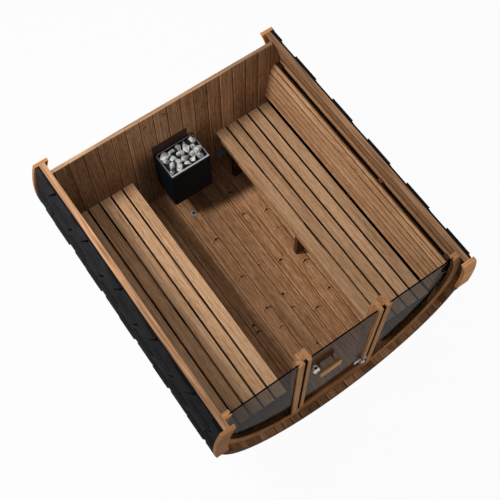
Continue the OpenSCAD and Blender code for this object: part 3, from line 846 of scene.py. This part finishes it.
def tab_lift(course, thick, share):
    """How far a tab stands off the base layer, at a share of the way down it."""
    thin, lap, flat = 0.0045, 0.003, 0.006
    if course == 0:
        return thick - (thick - thin) * share
    rise = min(thick, flat) if course == 1 else thick - lap
    return lap + rise * min(1.0, share * 2)


def shingle_tabs(side, name, first):
    """Laminated tabs with slanting sides, in staggered courses over the base layer."""
    dice = random.Random(7 + side)
    low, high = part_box(name)
    course, least_course, top_lift = math.radians(6.45), 0.01, 0.009
    width, period, stagger, tabs_ahead = 0.242, 0.43, 0.2, 6
    slant, taper, spans = 0.62, 0.12, 6
    near_play, far_play, thinnest, thickest = 0.01, 0.012, 0.0085, 0.0098
    # Courses grow thicker down to the third
    top_extra, course_extra, last_extra = 0.003, 0.005, 3
    narrowest, sunk = 0.02, 0.001

    bottom = math.asin((low.z - AXIS) / SHELL)
    upper = math.asin((high.z - AXIS) / (SHELL + top_lift))
    shape, shadow_strips = Shape(), Shape()
    c = 0
    while upper > bottom + least_course:
        lower = max(upper - course, bottom)
        turns = [upper + (lower - upper) * i / spans for i in range(spans + 1)]
        extra = min(c, last_extra) * course_extra if c else top_extra
        y = first + (c % 2) * stagger - period * tabs_ahead
        while y < high.y:
            near = y + dice.uniform(-near_play, near_play)
            far = near + width + dice.uniform(-far_play, far_play)
            thick = dice.uniform(thinnest, thickest) + extra
            y += period
            rings = []
            for i, turn in enumerate(turns):
                down = (upper - turn) * SHELL
                front = clamp(near + slant * down, low.y, high.y)
                rear = clamp(far - taper * down, low.y, high.y)
                out = SHELL + tab_lift(c, thick, i / spans)
                rings.append(shell_ring(side, turn, SHELL - sunk, out, front, rear))
            if min(r[2][1] - r[1][1] for r in rings) <= narrowest:
                continue
            shape.loft(rings)
            if rings[0][1][1] > low.y + narrowest:
                shadow_strips.loft(tab_shadow_strip(side, turns, [r[1][1] for r in rings]))
        c, upper = c + 1, lower
    # Near-black strips that paint the tabs' shadows
    shadow_strips.piece(name.replace("shingles", "tab_shadows"), SHADE, "sauna", "shingle")
    return shape.piece(name.replace("shingles", "shingle_tabs"), SHINGLE, "sauna", "shingle")


def tab_shadow_strip(side, turns, fronts):
    """A near-black strip in front of a tab, wider at its upper end, that paints the shadow the tab
    casts.
    """
    narrow, extra, under = 0.007, 0.011, 0.002
    base, face = SHELL - 0.0005, SHELL + 0.0025
    spans = len(turns) - 1
    return [
        shell_ring(side, turn, base, face, y - (narrow + extra * (1 - i / spans)), y + under)
        for i, (turn, y) in enumerate(zip(turns, fronts))
    ]


def ball(around=22, up=12):
    """Points and faces of a unit sphere."""
    points = [Vector((0, 0, 1))]
    for i in range(1, up):
        a = math.pi * i / up
        for j in range(around):
            b = 2 * math.pi * j / around
            x, y = math.sin(a) * math.cos(b), math.sin(a) * math.sin(b)
            points.append(Vector((x, y, math.cos(a))))
    points.append(Vector((0, 0, -1)))
    after = [(j, (j + 1) % around) for j in range(around)]
    faces = [[0, 1 + j, 1 + k] for j, k in after]
    for i in range(up - 2):
        a, b = 1 + i * around, 1 + (i + 1) * around
        faces += [[a + j, b + j, b + k, a + k] for j, k in after]
    last = 1 + (up - 2) * around
    faces += [[last + j, len(points) - 1, last + k] for j, k in after]
    return points, faces


def stone(dice, at, size):
    """Points of one stone: a ball stretched and spun, with flat chips off it."""
    full_turn, chip_count = 6.28, 9

    def direction():
        return Vector((dice.gauss(0, 1), dice.gauss(0, 1), dice.gauss(0, 1)))

    spin = Matrix.Rotation(dice.uniform(0, full_turn), 3, direction())
    stretch = Vector((dice.uniform(0.9, 1.2), dice.uniform(0.8, 1.0), dice.uniform(0.7, 0.9)))
    chips = [(direction().normalized(), dice.uniform(0.4, 0.66)) for _ in range(chip_count)]
    points = []
    for v in ball()[0]:
        for way, depth in chips:
            v -= way * max(0.0, v.dot(way) - depth)
        points.append(at + spin @ (v * stretch) * size)
    return points


def stones():
    """Broken stones heaped in the heater's basket, none past its walls."""
    dice = random.Random(31)
    low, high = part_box("stone_bed")
    columns, rows, shift, small_each = 5, 4, 0.12, 6
    inset_x, inset_y, clear, perch = 0.036, 0.034, 0.002, 0.4
    play_x, play_y, play_z = 0.007, 0.005, 0.008
    large, small = (0.038, 0.047), (0.029, 0.034)
    step_x = (high.x - low.x - 2 * inset_x) / (columns - 1)
    step_y = (high.y - low.y - 2 * inset_y) / (rows - 1)
    shape = Shape()
    for r in range(rows):
        for c in range(columns):
            size = dice.uniform(*(large if (r + c) % small_each else small))
            x = low.x + inset_x + step_x * (c + (shift if r % 2 else -shift))
            y = low.y + inset_y + step_y * r
            at = Vector((
                x + dice.uniform(-play_x, play_x), y + dice.uniform(-play_y, play_y),
                high.z + size * perch + dice.uniform(0, play_z),
            ))
            points = stone(dice, at, size)
            for v in points:
                v.x = clamp(v.x, low.x + clear, high.x - clear)
                v.y = clamp(v.y, low.y + clear, high.y - clear)
            shape.add(points, ball()[1])
    return shape.piece("heater_stones", STONE, "sauna", "stones")


def glass_edges(name, panes, body):
    """Dark polished edges along the panes' cut."""
    lip, drop, rise, arris, inset = 0.0006, 0.004, 0.0012, 0.002, 0.0005
    shoulder = CUT + rise * 0.4
    shape = Shape()
    for pane in panes:
        low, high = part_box(pane)
        section = [
            (low.y - lip, CUT - drop), (low.y - lip, shoulder), (low.y + arris, CUT + rise),
            (high.y - arris, CUT + rise), (high.y + lip, shoulder), (high.y + lip, CUT - drop),
        ]
        ends = (low.x + inset, high.x - inset)
        if pane != "door_pane":
            side = 1 if high.x > 0 else -1
            outer = math.sqrt(PANE_ARC**2 - (CUT - AXIS) ** 2) - 2 * inset
            ends = sorted((side * STILE_END, side * outer))
        shape.loft([[(x, y, z) for y, z in section] for x in ends])
    return shape.piece(name, EDGE, body, "tinted_glass")


floor_boards()
wall_boards()
shingle_tabs(-1, "left_shingles", 0.885)
shingle_tabs(1, "right_shingles", 0.596)
stones()
glass_edges("pane_edges", ["left_pane", "right_pane"], "sauna")
glass_edges("door_edge", ["door_pane"], "door")


def ground():
    """Plain pale floor: white to the eye, with a faint shadow."""
    half = 9
    corners = [(-half, -half, 0), (half, -half, 0), (half, half, 0), (-half, half, 0)]
    mesh = bpy.data.meshes.new("ground")
    mesh.from_pydata(corners, [], [[0, 1, 2, 3]])
    obj = bpy.data.objects.new("ground", mesh)
    bpy.context.scene.collection.objects.link(obj)
    p = Paint("pale_ground")
    plain = p.node("BsdfDiffuse", Color=(0.82, 0.82, 0.82, 1.0)).outputs[0]
    white = p.node("Emission", Color=WHITE, Strength=1.0).outputs[0]
    path = p.node("LightPath").outputs
    mirrored = p.math("MAXIMUM", path["Is Glossy Ray"], path["Is Transmission Ray"])
    seen = p.math("MAXIMUM", path["Is Camera Ray"], mirrored)
    mesh.materials.append(p.finish(p.either(p.product(seen, 0.95), plain, white)))


def sky():
    """Even studio light all round, white where it is seen."""
    glow, seen_glow = 0.5, 1.0
    world = bpy.data.worlds.new("studio")
    world.use_nodes = True
    tree = world.node_tree
    tree.nodes.clear()
    path = tree.nodes.new("ShaderNodeLightPath").outputs
    seen = path["Is Camera Ray"]
    for other in ("Is Glossy Ray", "Is Transmission Ray"):
        n = tree.nodes.new("ShaderNodeMath")
        n.operation = "MAXIMUM"
        tree.links.new(seen, n.inputs[0])
        tree.links.new(path[other], n.inputs[1])
        seen = n.outputs[0]
    level = tree.nodes.new("ShaderNodeMapRange")
    tree.links.new(seen, level.inputs["Value"])
    level.inputs["To Min"].default_value = glow
    level.inputs["To Max"].default_value = seen_glow
    back = tree.nodes.new("ShaderNodeBackground")
    back.inputs["Color"].default_value = WHITE
    tree.links.new(level.outputs[0], back.inputs["Strength"])
    out = tree.nodes.new("ShaderNodeOutputWorld")
    tree.links.new(back.outputs[0], out.inputs["Surface"])
    bpy.context.scene.world = world


def lamp(name, at, aim, watts, across):
    """A round lamp that looks from one place to another."""
    data = bpy.data.lights.new(name, "AREA")
    data.shape = "DISK"
    data.size = across
    data.energy = watts
    obj = bpy.data.objects.new(name, data)
    obj.location = at
    obj.rotation_euler = (Vector(aim) - Vector(at)).to_track_quat("-Z", "Y").to_euler()
    bpy.context.scene.collection.objects.link(obj)


def camera():
    """The photograph's viewpoint, for a square picture."""
    turn, lift, roll = math.radians(-34.8188), math.radians(66.1753), math.radians(-0.4611)
    # Where the eye is from the middle of the cut, in widths of the cut
    width, rightward, upward, backward = 2.0036, 0.0028, -0.1328, 3.0742
    middle = Vector((0, 0, 1.502))
    sensor_mm, focal_px, picture_px = 36, 899.622, 500

    cos, sin = math.cos(turn), math.sin(turn)
    back = Vector((sin * math.cos(lift), -cos * math.cos(lift), math.sin(lift)))
    level = Vector((cos, sin, 0))
    above = back.cross(level)
    right = level * math.cos(roll) + above * math.sin(roll)
    up = above * math.cos(roll) - level * math.sin(roll)
    eye = (right * rightward + up * upward + back * backward) * width + middle
    data = bpy.data.cameras.new("camera")
    data.sensor_fit = "HORIZONTAL"
    data.sensor_width = sensor_mm
    data.lens = sensor_mm * focal_px / picture_px
    obj = bpy.data.objects.new("camera", data)
    rows = [(right[i], up[i], back[i], eye[i]) for i in range(3)]
    obj.matrix_world = Matrix((*rows, (0, 0, 0, 1)))
    bpy.context.scene.collection.objects.link(obj)
    bpy.context.scene.camera = obj


ground()
sky()
lamp("key", at=(-1.78, 1.17, 3.4), aim=(0, 0, 0.9), watts=74, across=0.4)
camera()
bpy.context.scene.view_settings.view_transform = "Standard"
